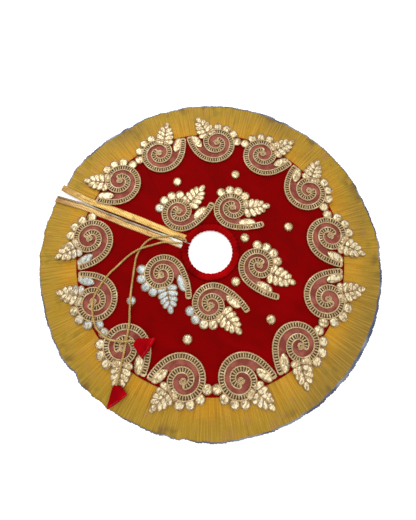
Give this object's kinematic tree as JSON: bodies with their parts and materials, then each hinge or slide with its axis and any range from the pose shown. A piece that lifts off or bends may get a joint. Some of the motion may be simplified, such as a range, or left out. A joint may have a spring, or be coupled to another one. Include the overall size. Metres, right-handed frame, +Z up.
{
  "type": "tree skirt",
  "caption": "Round velvet tree skirt with a trunk hole, a slit, a pleated frill, sewn spiral motifs and a tasselled drawstring neck.",
  "frame": {"origin": "centre of the skirt on the floor it lies on", "axes": "+Z up, away from the floor; the slit runs along -X from the trunk hole to the rim"},
  "size_m": [0.6097, 0.61, 0.0154],
  "materials": {
    "red_velvet": "short-pile velvet",
    "bright_velvet": "velvet, brighter across the pile",
    "gold_tissue": "pleated metallic tissue",
    "gold_ribbon": "ribbed gota ribbon, satin",
    "silver_ribbon": "ribbed gota ribbon, satin",
    "gota": "woven metallic lace, satin",
    "rose_cloth": "matte woven cloth",
    "lining_cloth": "plain cotton",
    "gold_cord": "twisted metallic cord"
  },
  "bodies": {
    "skirt": {"velvet_main": "red_velvet", "lining_main": "lining_cloth", "frill_main": "gold_tissue", "slit_ribbon_upper_neck": "gold_ribbon", "slit_ribbon_lower": "gold_ribbon", "slit_strip_silver": "silver_ribbon", "neck_casing": "bright_velvet", "drawstring_in_casing": "gold_cord", "drawstring_tail_a": "gold_cord", "drawstring_tail_b": "gold_cord", "outer_motif_02_patch": "rose_cloth", "outer_motif_02_gota": "gota", "outer_motif_03_patch": "rose_cloth", "outer_motif_03_gota": "gota", "outer_motif_04_patch": "rose_cloth", "outer_motif_04_gota": "gota", "outer_motif_05_patch": "rose_cloth", "outer_motif_05_gota": "gota", "outer_motif_06_patch": "rose_cloth", "outer_motif_06_gota": "gota", "outer_motif_07_patch": "rose_cloth", "outer_motif_07_gota": "gota", "outer_motif_08_patch": "rose_cloth", "outer_motif_08_gota": "gota", "outer_motif_09_patch": "rose_cloth", "outer_motif_09_gota": "gota", "outer_motif_10_patch": "rose_cloth", "outer_motif_10_gota": "gota", "outer_motif_11_patch": "rose_cloth", "outer_motif_11_gota": "gota", "outer_motif_12_patch": "rose_cloth", "outer_motif_12_gota": "gota", "outer_motif_13_patch": "rose_cloth", "outer_motif_13_gota": "gota", "inner_motif_a_patch": "rose_cloth", "inner_motif_a_gota": "gota", "inner_motif_b_patch": "rose_cloth", "inner_motif_b_gota": "gota", "inner_motif_c_patch": "rose_cloth", "inner_motif_c_gota": "gota", "inner_motif_d_patch": "rose_cloth", "inner_motif_d_gota": "gota", "inner_motif_e_patch": "rose_cloth", "inner_motif_e_gota": "gota", "loose_disc_1": "gota", "loose_disc_2": "gota", "loose_disc_3": "gota", "loose_disc_4": "gota", "loose_disc_5": "gota", "loose_disc_6": "gota", "loose_disc_7": "gota", "loose_disc_8": "gota"},
    "front_strip": {"velvet_flap": "red_velvet", "lining_flap": "lining_cloth", "frill_flap": "gold_tissue", "slit_ribbon_upper": "gold_ribbon", "outer_motif_01_patch": "rose_cloth", "outer_motif_01_gota": "gota"},
    "tassel_a": {"tassel_a": "bright_velvet"},
    "tassel_b": {"tassel_b": "bright_velvet"}
  },
  "joints": [
    {"name": "front_strip_fold", "type": "hinge", "parent": "skirt", "child": "front_strip", "pos_m": [-0.08, 0.002, 0.0085], "axis": [-0.731, 0.6824, 0], "range_deg": [0, 170]},
    {"name": "tassel_a_lift", "type": "hinge", "parent": "skirt", "child": "tassel_a", "pos_m": [-0.05632, -0.25995, 0.01115], "axis": [-0.9135, -0.4067, 0], "range_deg": [0, 90]},
    {"name": "tassel_b_lift", "type": "hinge", "parent": "skirt", "child": "tassel_b", "pos_m": [-0.05541, -0.18685, 0.01215], "axis": [-0.0872, -0.9962, 0], "range_deg": [0, 90]}
  ]
}
